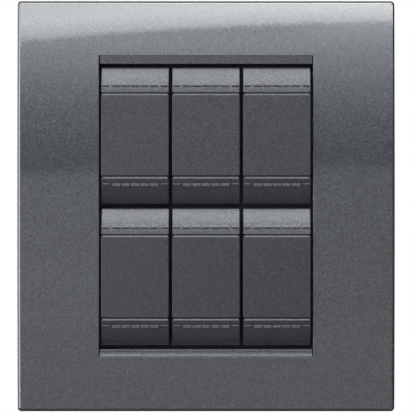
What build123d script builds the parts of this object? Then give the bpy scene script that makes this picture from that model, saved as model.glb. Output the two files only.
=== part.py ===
from build123d import *
import math
import os

# Wall switch frame: a crowned cover plate clipped to a support frame that holds two rows of three
# rocker switches. Millimetres, +Z up the wall, -Y to the room. The origin is the middle of the plate
# on the wall's plane, so all that lies at +Y stands in the wall box.

# Switch places
module_pitch_x = 22.5
module_pitch_z = 45.0
columns = 3
rows = 2

# Cover plate
plate_width = 120.0
plate_height = 130.6
plate_depth = 9.0
crown_drop = 1.8
plate_corner_radius = 1.2
plate_edge_bevel = 0.6
plate_skin = 2.2
plate_rim_wall = 2.0
window_gap_x = 0.3
window_gap_z = 0.3
ledge_height = 2.6
ledge_depth = 0.285
collar_wall = 1.5
plate_rib_wall = 1.2
plate_rib_spacing_x = 24.0
plate_rib_spacing_z = 33.0

# Clips that hold the plate to the support frame
clip_width = 6.0
clip_wall = 1.4
clip_barb = 0.8
clip_barb_length = 1.0
clip_spacing_z = 80.0
clip_edge_distance = 5.0
clip_flex_room = 1.2

# Support frame
support_thickness = 3.0
support_margin = 5.0
support_corner_bevel = 3.0
support_rib_height = 1.5
support_rib_wall = 1.5
row_bar_height = 3.9
fixing_spacing_x = 83.5
fixing_spacing_z = 45.0
fixing_slot_width = 4.2
fixing_slot_length = 7.0

# Key cover
key_gap_x = 1.05
key_gap_z = 1.55
key_skin = 1.4
key_wall = 1.2
key_end_drop = 3.3
key_end_radius = 20.0
key_end_edge = 0.8
key_end_length = 8.5
key_groove_width = 0.9
key_groove_depth = 0.32
key_step = 0.25
key_clip_width = 8.0
key_clip_wall = 1.0

# Raised bars on the key's ends
bar_offset = 2.6
bar_thickness = 1.05
bar_height = 0.03
bar_lean = 5.5
bar_flank_share = 0.47
bar_count = 5
bar_pitch = 3.01
bar_slit = 0.35
side_bar_gap = 0.6
side_bar_margin = 0.3
side_bar_thickness = 0.75

# Rocker and its pivot
rocker_tilt = 4.0
rocker_stop_gap = 0.4
rocker_end_gap = 0.15
rocker_plate_thickness = 1.4
rocker_boss_length = 7.0
trunnion_radius = 1.5
trunnion_inset = 0.4
pivot_rise = 1.0
barrel_width = 5.6
barrel_length = 8.8
bore_width = 3.2
bore_floor = 1.0

# Plunger and spring
plunger_reach = 11.8
plunger_guide = 3.2
plunger_taper = 1.4
plunger_tip_width = 0.8
spring_wire = 0.5
spring_sides = 8

# Contact lever and its contact pad
lever_ratio = 3.0
lever_width = 5.0
lever_thickness = 0.8
lever_reach = 8.5
notch_depth = 0.4
knife_angle = 35.0
notch_spare_angle = 5.0
pad_width = 3.0
pad_height = 2.4
pad_thickness = 0.7
pad_margin = 0.3

# Terminals and screws
terminal_z = 11.0
terminal_width = 11.0
terminal_height = 7.0
terminal_depth = 7.0
strip_thickness = 1.0
wire_slot_room = 0.15
wire_slot_depth = 5.5
screw_radius = 1.5
screw_length = 5.0
screw_head_radius = 2.5
screw_head_height = 1.6
screw_slot_width = 0.7
screw_slot_depth = 0.7
screw_sides = 10

# Front yoke and housing
flange_thickness = 1.0
ear_wall = 1.35
ear_thickness = 2.0
yoke_plug_depth = 2.5
yoke_plug_wall = 1.0
housing_depth = 27.0
housing_wall = 1.1
housing_floor = 2.0
terminal_window_width = 9.6
terminal_window_room = 0.4
catch_width = 8.0
catch_height = 0.8
catch_length = 2.5

# Clearances
running_clearance = 0.05
fit_clearance = 0.1
side_clearance = 0.3
place_clearance = 0.5
window_clearance = 0.35

# Wall to room, every level follows from the one behind it
wall_y = 0.0
support_front_y = wall_y - support_thickness
flange_front_y = support_front_y - flange_thickness
pivot_y = flange_front_y - pivot_rise
key_width = module_pitch_x - key_gap_x
key_height = module_pitch_z - key_gap_z
key_groove_z = key_height / 2 - key_end_length
bar_z = key_groove_z + bar_offset
rocker_length = 2 * (key_groove_z - rocker_end_gap)
rocker_width = key_width - 2 * (key_wall + ear_thickness + 2 * side_clearance)
ear_inner_x = rocker_width / 2 + side_clearance
key_swing = key_height / 2 * math.sin(math.radians(rocker_tilt))
key_back_y = flange_front_y - key_swing - rocker_stop_gap
key_end_y = key_back_y - key_end_edge
key_field_y = key_end_y - key_end_drop - key_step
rocker_front_y = key_field_y + key_skin

# Into the wall box
lever_front_y = pivot_y + plunger_reach + running_clearance
lever_back_y = lever_front_y + lever_thickness
lever_pivot_y = lever_back_y - notch_depth
lever_tilt = rocker_tilt * lever_ratio
pad_z = lever_reach - pad_margin - pad_height / 2
floor_y = housing_depth - housing_floor
terminal_front_y = floor_y - terminal_depth
strip_front_y = terminal_front_y - strip_thickness
wire_slot_height = 2 * (screw_radius + wire_slot_room)
terminal_window_height = 2 * (screw_head_radius + terminal_window_room)

# Plate front and window
crown_radius = (plate_height / 2) ** 2 / (2 * crown_drop) + crown_drop / 2
opening_width = columns * module_pitch_x + 2 * window_gap_x
opening_height = rows * module_pitch_z + 2 * window_gap_z
ledge_width = columns * module_pitch_x
ledge_top = opening_height / 2 + ledge_height
support_width = plate_width - 2 * (plate_rim_wall + support_margin)
support_height = plate_height - 2 * (plate_rim_wall + support_margin)
clip_outer_x = support_width / 2 - clip_edge_distance
housing_width = module_pitch_x - place_clearance
row_window_width = columns * module_pitch_x - place_clearance + 2 * window_clearance
row_window_height = module_pitch_z - row_bar_height
housing_height = row_window_height - 2 * window_clearance


def span(size, middle=0.0):
    """Low and high end of a size about its middle."""
    return middle - size / 2, middle + size / 2


def block(x, y, z):
    """Box between the low and high ends given along each axis."""
    low, high = zip(x, y, z)
    size = [b - a for a, b in zip(low, high)]
    middle = [(a + b) / 2 for a, b in zip(low, high)]
    return Pos(*middle) * Box(*size)


def rod_x(radius, x, y, z):
    """Cylinder along X between the ends x, about the line (y, z)."""
    return Pos(sum(x) / 2, y, z) * Rot(0, 90, 0) * Cylinder(radius, x[1] - x[0])


def many_sided_y(radius, sides, y, z=0.0):
    """Many-sided rod along Y between the ends y, at height z."""
    face = Plane.XZ * Pos(0, z) * RegularPolygon(radius, sides)
    return Pos(0, y[1], 0) * extrude(face, amount=y[1] - y[0])


def prism_x(outline, x):
    """Solid between the ends x whose cross section is a closed outline of (Y, Z)."""
    face = Plane.YZ * make_face(outline)
    return Pos(x[0], 0, 0) * extrude(face, amount=x[1] - x[0])


def crown_y(z, depth_below=0.0):
    """Y of the plate's crowned front at height z, or of the arc that lies depth_below behind it."""
    radius = crown_radius - depth_below
    return crown_radius - plate_depth - math.sqrt(radius**2 - z**2)


def crowned_block(width, height, depth_below, back_y):
    """Block with the plate's crowned front, or the arc behind it, and a flat back."""
    top = height / 2
    edge_y = crown_y(top, depth_below)
    front = ThreePointArc((edge_y, top), (crown_y(0, depth_below), 0), (edge_y, -top))
    back = Polyline((edge_y, -top), (back_y, -top), (back_y, top), (edge_y, top))
    return prism_x(front + back, span(width))


def plate_clip(side, z):
    """Hooked leg behind the plate, its barb pointing outward under the support frame's ledge."""
    outer, inner = clip_outer_x, clip_outer_x - clip_wall
    tip_y = wall_y - side_clearance
    barb_y = tip_y - clip_barb_length
    leg = block((inner, outer), (-plate_depth, tip_y), span(clip_width, z))
    slope = make_face(Polyline((outer, barb_y), (outer + clip_barb, barb_y), (outer, tip_y), close=True))
    barb = Pos(0, 0, z - clip_width / 2) * extrude(slope, amount=clip_width)
    hook = leg + barb
    return hook if side > 0 else mirror(hook, Plane.YZ)


def plate_ribs():
    """Stiffening ribs that join the window's collar to the rim, clear of the support frame."""
    rib_y = (-plate_depth, support_front_y - support_rib_height - place_clearance)
    ribs = []
    for place in (-1, 0, 1):
        ribs.append(block(span(plate_width), rib_y, span(plate_rib_wall, place * plate_rib_spacing_z)))
        ribs.append(block(span(plate_rib_wall, place * plate_rib_spacing_x), rib_y, span(plate_height)))
    return ribs


def window_ledge(end):
    """Ledge above or below the keys: it slopes back to them, and a slit parts each end from the collar."""
    foot = opening_height / 2
    root = ledge_top + collar_wall / 2
    front_y = crown_y(ledge_top)
    neck_y = front_y + plate_skin / 2
    corners = [(front_y, ledge_top), (front_y + ledge_depth, foot), (support_front_y, foot),
               (support_front_y, root), (neck_y, root), (neck_y, ledge_top)]
    return prism_x(Polyline(*[(y, end * z) for y, z in corners], close=True), span(ledge_width))


def make_cover_plate():
    """One-piece plate: crowned shell, collar round the window, ledges above and below, four clips."""
    outer = crowned_block(plate_width, plate_height, 0, wall_y)
    outer = fillet(outer.edges().filter_by(Axis.Y), plate_corner_radius)
    outer = chamfer(outer.faces().sort_by(Axis.Y)[0].edges(), plate_edge_bevel)
    hollow_width = plate_width - 2 * plate_rim_wall
    hollow_height = plate_height - 2 * plate_rim_wall
    shell = outer - crowned_block(hollow_width, hollow_height, plate_skin, wall_y)
    collar_width = opening_width + 2 * collar_wall
    collar_height = 2 * (ledge_top + collar_wall)
    inside = [block(span(collar_width), (-plate_depth, support_front_y), span(collar_height))]
    inside += plate_ribs()
    for side in (-1, 1):
        for end in (-1, 1):
            inside.append(plate_clip(side, end * clip_spacing_z / 2))
    plate = shell + [piece & outer for piece in inside]
    plate -= block(span(opening_width), (-2 * plate_depth, wall_y), span(2 * ledge_top))
    return plate + [window_ledge(end) for end in (-1, 1)]


def clip_slot(side, z):
    """Stepped slot in the support frame: the barb hooks under the step."""
    inner = clip_outer_x - clip_wall - clip_flex_room
    step_y = wall_y - side_clearance - clip_barb_length - fit_clearance
    tall = span(clip_width + 2 * side_clearance, z)
    front = block((inner, clip_outer_x + fit_clearance), (support_front_y, step_y), tall)
    back = block((inner, clip_outer_x + clip_barb + side_clearance), (step_y, wall_y), tall)
    slot = front + back
    return slot if side > 0 else mirror(slot, Plane.YZ)


def make_support_frame():
    """Flat frame with a window for each row, a rib round its edge, clip slots and screw slots."""
    frame = block(span(support_width), (support_front_y - support_rib_height, wall_y), span(support_height))
    frame = chamfer(frame.edges().filter_by(Axis.Y), support_corner_bevel)
    field = block(span(support_width - 2 * support_rib_wall),
                  (support_front_y - support_rib_height, support_front_y),
                  span(support_height - 2 * support_rib_wall))
    frame -= field
    for row in range(rows):
        z = (row - (rows - 1) / 2) * module_pitch_z
        frame -= block(span(row_window_width), (support_front_y, wall_y), span(row_window_height, z))
    for side in (-1, 1):
        for end in (-1, 1):
            frame -= clip_slot(side, end * clip_spacing_z / 2)
            at = Pos(side * fixing_spacing_x / 2, end * fixing_spacing_z / 2)
            slot = Plane.XZ * at * SlotOverall(fixing_slot_length, fixing_slot_width)
            frame -= extrude(slot, amount=support_thickness)
    return frame


def key_outside():
    """Side outline of the key: flat field, a groove at each end of it, ends that curve back."""
    tip = key_height / 2
    start_y = key_end_y - key_end_drop
    floor_y = key_field_y + key_groove_depth
    inner, outer = span(key_groove_width, key_groove_z)
    field = Polyline((start_y, -outer), (floor_y, -key_groove_z), (key_field_y, -inner),
                     (key_field_y, inner), (floor_y, key_groove_z), (start_y, outer))
    upper = RadiusArc((start_y, outer), (key_end_y, tip), key_end_radius)
    lower = RadiusArc((key_end_y, -tip), (start_y, -outer), key_end_radius)
    back = Polyline((key_end_y, tip), (key_back_y, tip), (key_back_y, -tip), (key_end_y, -tip))
    return field + upper + back + lower


def key_inside():
    """Side outline of the key's hollow: flat under the field, straight slopes under the ends."""
    tip = key_height / 2 - key_wall
    bend = key_groove_z + key_groove_width / 2
    slope_y = key_end_height(tip) + key_skin
    return Polyline((rocker_front_y, -bend), (rocker_front_y, bend), (slope_y, tip), (wall_y, tip),
                    (wall_y, -tip), (slope_y, -tip), close=True)


def key_end_height(z):
    """Y of the key's curved end at height z above the key's middle."""
    start = (key_end_y - key_end_drop, key_groove_z + key_groove_width / 2)
    end = (key_end_y, key_height / 2)
    chord = math.dist(start, end)
    rise = math.sqrt(key_end_radius**2 - (chord / 2) ** 2)
    middle_y, middle_z = (start[0] + end[0]) / 2, (start[1] + end[1]) / 2
    center_y = middle_y + rise * (end[1] - start[1]) / chord
    center_z = middle_z - rise * (end[0] - start[0]) / chord
    return center_y - math.sqrt(key_end_radius**2 - (z - center_z) ** 2)


def key_bar(x, thickness, end):
    """One raised bar across the key's curved end, its face leaning to the field, its foot in the skin."""
    low, high = span(thickness, bar_z)
    low_y, high_y = key_end_height(low), key_end_height(high)
    foot = key_skin / 2
    face_y = low_y - bar_height
    crest = high - thickness * bar_flank_share
    crest_y = face_y - (crest - low) * math.tan(math.radians(bar_lean))
    corners = [(low_y + foot, low), (face_y, low), (crest_y, crest), (high_y, high), (high_y + foot, high)]
    return prism_x(Polyline(*[(y, end * z) for y, z in corners], close=True), x)


def key_bars(end):
    """Row of dashes in the middle of the key's end and a thinner bar out to each side."""
    row = bar_count * bar_pitch - bar_slit
    bars = []
    for place in range(bar_count):
        middle = (place - (bar_count - 1) / 2) * bar_pitch
        bars.append(key_bar(span(bar_pitch - bar_slit, middle), bar_thickness, end))
    inner = row / 2 + side_bar_gap
    outer = key_width / 2 - side_bar_margin
    for x in ((-outer, -inner), (inner, outer)):
        bars.append(key_bar(x, side_bar_thickness, end))
    return bars


def make_key_cover():
    """Hollow key with grooves, raised bars and two hooks that grip the rocker's plate."""
    key = prism_x(key_outside(), span(key_width))
    key -= prism_x(key_inside(), span(key_width - 2 * key_wall))
    hook_y = rocker_front_y + rocker_plate_thickness
    for end in (-1, 1):
        key += key_bars(end)
        leg_z = rocker_length / 2 + fit_clearance
        toe_y = hook_y + fit_clearance
        hook = Polyline((key_field_y + key_skin / 2, leg_z), (toe_y, leg_z), (toe_y, leg_z - key_clip_wall),
                        (toe_y + key_clip_wall, leg_z), (toe_y + key_clip_wall, leg_z + key_clip_wall),
                        (key_field_y + key_skin / 2, leg_z + key_clip_wall), close=True)
        leg = prism_x(hook, span(key_clip_width))
        key += leg if end > 0 else mirror(leg, Plane.XY)
    return key


def make_rocker():
    """Rocker under the key: plate, boss with two half-round trunnions, and the barrel for the spring."""
    plate_y = (rocker_front_y, rocker_front_y + rocker_plate_thickness)
    boss_y = (rocker_front_y, pivot_y + bore_floor)
    barrel_y = (pivot_y, pivot_y + barrel_length)
    rocker = block(span(rocker_width), plate_y, span(rocker_length))
    rocker += block(span(rocker_width), boss_y, span(rocker_boss_length))
    rocker += block(span(barrel_width), barrel_y, span(barrel_width))
    pin_x = span(2 * (ear_inner_x + ear_thickness - trunnion_inset))
    pin = rod_x(trunnion_radius, pin_x, pivot_y, 0)
    rocker += pin - block(pin_x, (pivot_y, pivot_y + trunnion_radius), span(2 * trunnion_radius))
    return rocker - block(span(bore_width), (pivot_y + bore_floor, barrel_y[1]), span(bore_width))


def make_plunger():
    """Square plunger with a blunt ridge that bears on the contact lever."""
    half = bore_width / 2 - fit_clearance
    blunt = plunger_tip_width / 2
    tail_y = pivot_y + barrel_length - plunger_guide
    tip_y = pivot_y + plunger_reach
    side = Polyline((tail_y, -half), (tip_y - plunger_taper, -half), (tip_y, -blunt), (tip_y, blunt),
                    (tip_y - plunger_taper, half), (tail_y, half), close=True)
    return prism_x(side, (-half, half))


def make_plunger_spring():
    """Sleeve with the coil spring's outer and inner size, between the barrel's floor and the plunger."""
    spring_y = (pivot_y + bore_floor, pivot_y + barrel_length - plunger_guide)
    radius = bore_width / 2 - fit_clearance
    coil = many_sided_y(radius, spring_sides, spring_y)
    return coil - many_sided_y(radius - spring_wire, spring_sides, spring_y)


def make_contact_lever():
    """See-saw strip with a notch across the middle of its back and a contact pad at its top."""
    lever = block(span(lever_width), (lever_front_y, lever_back_y), span(2 * lever_reach))
    notch_angle = math.radians(knife_angle + lever_tilt + notch_spare_angle)
    notch_half = notch_depth * math.tan(notch_angle)
    notch = Polyline((lever_pivot_y, 0), (lever_back_y, notch_half), (lever_back_y, -notch_half), close=True)
    lever -= prism_x(notch, span(lever_width))
    pad_y = (lever_back_y, lever_back_y + pad_thickness)
    return lever + block(span(pad_width), pad_y, span(pad_height, pad_z))


def terminal_block(z):
    """Clamp block on the housing's floor, with one slot across it for the screw and its wires."""
    clamp = block(span(terminal_width), (terminal_front_y, floor_y), span(terminal_height, z))
    slot_y = (floor_y - wire_slot_depth, floor_y)
    return clamp - block(span(terminal_window_width), slot_y, span(wire_slot_height, z))


def make_common_terminal():
    """Lower clamp with a strip and a post, which ends in the knife edge that the lever rocks on."""
    half = strip_thickness / 2
    edge_y = lever_pivot_y + running_clearance
    flank_y = edge_y + half / math.tan(math.radians(knife_angle))
    side = Polyline((edge_y, 0), (flank_y, half), (terminal_front_y, half), (terminal_front_y, -half),
                    (flank_y, -half), close=True)
    post = prism_x(side, span(lever_width))
    foot_z = (-terminal_z - terminal_height / 2, half)
    strip = block(span(lever_width), (strip_front_y, terminal_front_y), foot_z)
    return terminal_block(-terminal_z) + [post, strip]


def make_switched_terminal():
    """Upper clamp with a leg and a tongue bent to meet the lever's pad flat when the lever tilts over."""
    tongue_y = notch_depth + pad_thickness + running_clearance
    tongue = block(span(lever_width), (tongue_y, tongue_y + strip_thickness),
                   (pad_z - pad_height / 2, terminal_z))
    tongue = Pos(0, lever_pivot_y, 0) * Rot(-lever_tilt, 0, 0) * tongue
    end_z = tongue.bounding_box().max.Z
    end_y = tongue.bounding_box().max.Y
    leg_y = (end_y - strip_thickness, terminal_front_y)
    leg = block(span(lever_width), leg_y, (end_z - strip_thickness, end_z))
    return terminal_block(terminal_z) + [tongue, leg]


def make_terminal_screw(z):
    """Slotted screw seated on the clamp block's back."""
    head_y = floor_y + screw_head_height
    screw = many_sided_y(screw_radius, screw_sides, (floor_y - screw_length, floor_y), z)
    screw += many_sided_y(screw_head_radius, screw_sides, (floor_y, head_y), z)
    slot = block(span(2 * screw_head_radius), (head_y - screw_slot_depth, head_y), span(screw_slot_width, z))
    return screw - slot


def make_front_yoke():
    """Flange over the housing's mouth with two ears, open to the back, that carry the trunnions."""
    bearing_radius = trunnion_radius + running_clearance
    ear_height = 2 * (bearing_radius + ear_wall)
    plug_y = (support_front_y, support_front_y + yoke_plug_depth)
    plug_width = housing_width - 2 * (housing_wall + fit_clearance)
    plug_height = housing_height - 2 * (housing_wall + fit_clearance)
    yoke = block(span(module_pitch_x - fit_clearance), (flange_front_y, support_front_y),
                 span(module_pitch_z - fit_clearance))
    for end in (-1, 1):
        tongue_z = span(yoke_plug_wall, end * (plug_height - yoke_plug_wall) / 2)
        yoke += block(span(plug_width), plug_y, tongue_z)
    swing_room = rocker_boss_length / 2 + place_clearance + side_clearance
    yoke -= block(span(2 * ear_inner_x), (flange_front_y, support_front_y), span(2 * swing_room))
    for side in (-1, 1):
        x = sorted((side * ear_inner_x, side * (ear_inner_x + ear_thickness)))
        yoke += block(x, (pivot_y - ear_height / 2, plug_y[1]), span(ear_height))
        yoke -= rod_x(bearing_radius, x, pivot_y, 0)
        yoke -= block(x, (pivot_y, plug_y[1]), span(2 * bearing_radius))
    return yoke


def make_switch_housing():
    """Open-fronted box with terminal windows in its floor, guides for the clamps and two catches."""
    housing = block(span(housing_width), (support_front_y, housing_depth), span(housing_height))
    cave_width = housing_width - 2 * housing_wall
    housing -= block(span(cave_width), (support_front_y, floor_y), span(housing_height - 2 * housing_wall))
    guide_x = terminal_width / 2 + fit_clearance
    for z in (-terminal_z, terminal_z):
        tall = span(terminal_height, z)
        for x in ((-cave_width / 2, -guide_x), (guide_x, cave_width / 2)):
            housing += block(x, (terminal_front_y, floor_y), tall)
        window_z = span(terminal_window_height, z)
        housing -= block(span(terminal_window_width), (floor_y, housing_depth), window_z)
    foot = housing_height / 2
    catch_y = wall_y + fit_clearance
    slope = Polyline((catch_y, foot), (catch_y, foot + catch_height), (catch_y + catch_length, foot),
                     close=True)
    catch = prism_x(slope, span(catch_width))
    return housing + [catch, mirror(catch, Plane.XY)]


def save(name, shape):
    """Write one node's solid or solids."""
    export_step(shape, f"parts/{name}.step")


os.makedirs("parts", exist_ok=True)

save("cover_plate", make_cover_plate())
save("support_frame", make_support_frame())

module_pieces = {
    "key_cover": make_key_cover(),
    "rocker": make_rocker(),
    "plunger": make_plunger(),
    "plunger_spring": make_plunger_spring(),
    "contact_lever": make_contact_lever(),
    "common_terminal": make_common_terminal(),
    "switched_terminal": make_switched_terminal(),
    "front_yoke": make_front_yoke(),
    "switch_housing": make_switch_housing(),
}

# Places are numbered from the left, the top row first
screws = []
for number in range(rows * columns):
    row, column = divmod(number, columns)
    place = Pos((column - (columns - 1) / 2) * module_pitch_x, 0, ((rows - 1) / 2 - row) * module_pitch_z)
    for name, shape in module_pieces.items():
        save(f"{name}_{number + 1}", place * shape)
    screws += [place * make_terminal_screw(z) for z in (-terminal_z, terminal_z)]

save("terminal_screws", Compound(children=screws))
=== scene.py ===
"""Looks of a wall switch frame: a crowned lacquered plate round two rows of three rocker switches.
Metres in the CAD frame, sizes below in millimetres: X right, Z up, the room at -Y, the wall at Y = 0."""

import math

import bmesh
import bpy
import numpy as np
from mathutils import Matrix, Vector


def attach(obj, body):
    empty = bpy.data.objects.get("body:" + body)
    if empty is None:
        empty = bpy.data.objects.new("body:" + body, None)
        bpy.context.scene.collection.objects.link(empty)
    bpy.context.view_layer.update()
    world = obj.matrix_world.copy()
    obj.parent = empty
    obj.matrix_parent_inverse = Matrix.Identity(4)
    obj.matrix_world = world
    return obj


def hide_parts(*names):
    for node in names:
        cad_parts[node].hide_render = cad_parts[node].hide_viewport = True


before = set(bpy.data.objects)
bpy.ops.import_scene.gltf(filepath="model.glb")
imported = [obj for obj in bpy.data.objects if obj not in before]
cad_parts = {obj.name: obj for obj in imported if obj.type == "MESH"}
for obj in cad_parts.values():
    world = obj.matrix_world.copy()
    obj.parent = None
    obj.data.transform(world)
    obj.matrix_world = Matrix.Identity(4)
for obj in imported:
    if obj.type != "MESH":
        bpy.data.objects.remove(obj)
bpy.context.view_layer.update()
bpy.context.scene.view_settings.view_transform = "Standard"


# Support frame. The real one is a stiff moulding of glass-filled plastic with a raised rib round its
# edge. Four screws in its oblong slots hold it to the wall box, and all the rest is snapped into it.

MM = 0.001
MERGE_GAP = 0.002
FLAT_TURN = math.radians(0.5)
EDGE_TURN = math.radians(25)
SUPPORT_EDGE = 0.25
SUPPORT_COLOUR = (0.030, 0.030, 0.033, 1.0)
MELT_SCALE, MELT_TONES = 110.0, (0.86, 1.14)
GRAIN_ROUGHNESS, GRAIN_STRENGTH = 0.08, 0.35


def lay(material, kind, settings=None, feeds=None):
    """One node in a material: settings are its own properties, feeds are values or sockets for its inputs."""
    node = material.node_tree.nodes.new(kind)
    for key, value in (settings or {}).items():
        setattr(node, key, value)
    for key, value in (feeds or {}).items():
        if isinstance(value, bpy.types.NodeSocket):
            material.node_tree.links.new(value, node.inputs[key])
        else:
            node.inputs[key].default_value = value
    return node


def new_finish(name, plain):
    """A material whose shader holds the plain values, with the piece's own coordinates for its patterns."""
    material = bpy.data.materials.new(name)
    material.use_nodes = True
    shader = material.node_tree.nodes["Principled BSDF"]
    for key, value in plain.items():
        shader.inputs[key].default_value = value
    place = lay(material, "ShaderNodeTexCoord").outputs["Object"]
    return material, shader, place


def ramp(material, value, start, end, low=0.0, high=1.0, eased=True):
    """A value that goes from low to high while another goes from start to end, straight or by a smooth step."""
    way = {"interpolation_type": "SMOOTHSTEP" if eased else "LINEAR"}
    feeds = {"Value": value, "From Min": start, "From Max": end, "To Min": low, "To Max": high}
    return lay(material, "ShaderNodeMapRange", way, feeds).outputs[0]


def toned(material, shader, colour, pattern, low, high):
    """The colour made darker or lighter by a pattern that runs from 0 to 1, between low and high times."""
    shade = ramp(material, pattern, 0.0, 1.0, low, high, eased=False)
    tone = lay(material, "ShaderNodeHueSaturation", None, {"Value": shade, "Color": colour})
    material.node_tree.links.new(tone.outputs[0], shader.inputs["Base Color"])


def textured(material, shader, pattern, low, high, strength, depth):
    """Roughness between low and high along a pattern that runs from 0 to 1, and the same pattern as a bump."""
    gloss = ramp(material, pattern, 0.0, 1.0, low, high, eased=False)
    material.node_tree.links.new(gloss, shader.inputs["Roughness"])
    relief = lay(material, "ShaderNodeBump", None,
                 {"Strength": strength, "Distance": depth * MM, "Height": pattern})
    material.node_tree.links.new(relief.outputs[0], shader.inputs["Normal"])


def moulded_plastic(name, colour, roughness, grain, depth, shine=0.45):
    """Moulded plastic: cloudy flow of the melt in the colour, spark-eroded grain in roughness and bump."""
    material, shader, place = new_finish(name, {"Specular IOR Level": shine})
    cloud = lay(material, "ShaderNodeTexNoise", None, {"Vector": place, "Scale": MELT_SCALE, "Detail": 3.0})
    toned(material, shader, colour, cloud.outputs["Fac"], *MELT_TONES)
    spark = lay(material, "ShaderNodeTexNoise", None, {"Vector": place, "Scale": grain, "Detail": 2.0})
    smooth, rough = roughness - GRAIN_ROUGHNESS, roughness + GRAIN_ROUGHNESS
    textured(material, shader, spark.outputs["Fac"], smooth, rough, GRAIN_STRENGTH, depth)
    return material


def softened_copy(node, name, edge):
    """A copy of a CAD node, merged and with its flat faces whole again, its edges rounded to `edge` mm."""
    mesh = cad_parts[node].data.copy()
    mesh.materials.clear()
    shell = bmesh.new()
    shell.from_mesh(mesh)
    bmesh.ops.remove_doubles(shell, verts=shell.verts, dist=MERGE_GAP * MM)
    bmesh.ops.dissolve_limit(shell, angle_limit=FLAT_TURN, verts=shell.verts, edges=shell.edges)
    shell.to_mesh(mesh)
    shell.free()
    mesh.polygons.foreach_set("use_smooth", np.ones(len(mesh.polygons), bool))
    mesh.name = name
    piece = bpy.data.objects.new(name, mesh)
    bpy.context.collection.objects.link(piece)
    rounding = piece.modifiers.new("rounded_edges", "BEVEL")
    rounding.width = edge * MM
    rounding.segments = 2
    rounding.limit_method = "ANGLE"
    rounding.angle_limit = EDGE_TURN
    rounding.harden_normals = True
    return piece


def fit(piece, body, slot, material, *nodes):
    """Puts a finished piece on its body in place of its CAD nodes, with its material. The slot is not used."""
    piece.data.materials.append(material)
    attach(piece, body)
    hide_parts(*nodes)


support_plastic = moulded_plastic("glass_filled_plastic", SUPPORT_COLOUR, roughness=0.6, grain=1400.0,
                                  depth=0.03, shine=0.25)
support = softened_copy("support_frame", "support_moulding", SUPPORT_EDGE)
fit(support, "frame", "support_plastic", support_plastic, "support_frame")


# Switch housings. Each is a deep box of heat-proof plastic that stands in the wall box, with two
# catches that snap behind the support frame and two windows in its floor for the wires and screws.

SWITCHES = range(1, 7)
HOUSING_EDGE = 0.3
HOUSING_COLOUR = (0.36, 0.36, 0.355, 1.0)

housing_plastic = moulded_plastic("heat_proof_plastic", HOUSING_COLOUR, roughness=0.5, grain=1500.0,
                                  depth=0.025)
for switch in SWITCHES:
    housing = softened_copy(f"switch_housing_{switch}", f"housing_box_{switch}", HOUSING_EDGE)
    fit(housing, "frame", "housing_plastic", housing_plastic, f"switch_housing_{switch}")


# Terminals. Pressed brass blocks with a strip bent up from each: the common one ends in the knife
# edge that carries the lever, the switched one in a tongue that the lever's contact meets.

TERMINAL_EDGE = 0.15
BRASS_COLOUR = (0.62, 0.42, 0.16, 1.0)
TARNISH_SCALE, TARNISH_TONES = 240.0, (0.72, 1.2)
MARKS_SCALE, MARKS_ROUGHNESS, MARKS_STRENGTH, MARKS_DEPTH = (4000.0, 160.0, 4000.0), (-0.1, 0.14), 0.25, 0.01


def pressed_metal(name, colour, roughness):
    """Bright pressed metal: fine draw marks along Y in the roughness, faint tarnish clouds in the colour."""
    material, shader, place = new_finish(name, {"Metallic": 1.0})
    cloud = lay(material, "ShaderNodeTexNoise", None, {"Vector": place, "Scale": TARNISH_SCALE, "Detail": 4.0})
    toned(material, shader, colour, cloud.outputs["Fac"], *TARNISH_TONES)
    stretch = lay(material, "ShaderNodeMapping", None, {"Vector": place, "Scale": MARKS_SCALE})
    marks = lay(material, "ShaderNodeTexNoise", None,
                {"Vector": stretch.outputs[0], "Scale": 1.0, "Detail": 2.0})
    smooth, rough = (roughness + change for change in MARKS_ROUGHNESS)
    textured(material, shader, marks.outputs["Fac"], smooth, rough, MARKS_STRENGTH, MARKS_DEPTH)
    return material


terminal_brass = pressed_metal("pressed_brass", BRASS_COLOUR, roughness=0.3)
for switch in SWITCHES:
    for kind in ("common", "switched"):
        terminal = softened_copy(f"{kind}_terminal_{switch}", f"{kind}_brass_{switch}", TERMINAL_EDGE)
        fit(terminal, "frame", "terminal_brass", terminal_brass, f"{kind}_terminal_{switch}")


# Terminal screws. Zinc-plated steel, slotted, two to a switch, turned with a rolled thread and driven
# into the back of each terminal. All twelve are one piece, as they are one CAD node.

SWITCH_X = np.tile([-22.5, 0.0, 22.5], 2)
SWITCH_Z = np.repeat([22.5, -22.5], 3)
SCREW_Z = 11.0
SCREW_HEAD_R = 2.5
SCREW_HEAD_Y = (25.0, 26.6)
SCREW_HEAD_EDGE = (0.05, 0.16)
SCREW_HEAD_SIDES = 48
SCREW_SLOT = (0.7, 0.7)  # width, depth
SCREW_SINK = 0.01
SCREW_TURN = (0.6, 2.4)  # of the first screw, and from each screw to the next
SCREW_SHANK_R = 1.46
SCREW_TIP_Y = 20.1
SCREW_POINT = (0.6, 0.35)  # length, and share of the radius at the tip
THREAD_PITCH = 0.7
THREAD_DEPTH = 0.22
THREAD_STEPS = (57, 20)
SCREW_COLOUR = (0.50, 0.50, 0.49, 1.0)


def grid_faces(rows, columns, close_rows, close_columns):
    """Quads between neighbours of a grid of points, numbered along its rows, joined round where closed."""
    row = np.arange(rows if close_rows else rows - 1)[:, None]
    column = np.arange(columns if close_columns else columns - 1)[None, :]
    below, right = (row + 1) % rows, (column + 1) % columns
    corners = [row * columns + column, below * columns + column,
               below * columns + right, row * columns + right]
    return np.stack(np.broadcast_arrays(*corners), axis=-1).reshape(-1, 4)


def loft(loops):
    """Closed skin over a pile of loops of equal length, the first and the last loop filled with one face."""
    rows, columns = loops.shape[:2]
    last = (rows - 1) * columns
    caps = [list(range(columns - 1, -1, -1)), list(range(last, last + columns))]
    sides = grid_faces(rows, columns, False, True)[:, ::-1]
    return loops.reshape(-1, 3), sides.tolist() + caps


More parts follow.
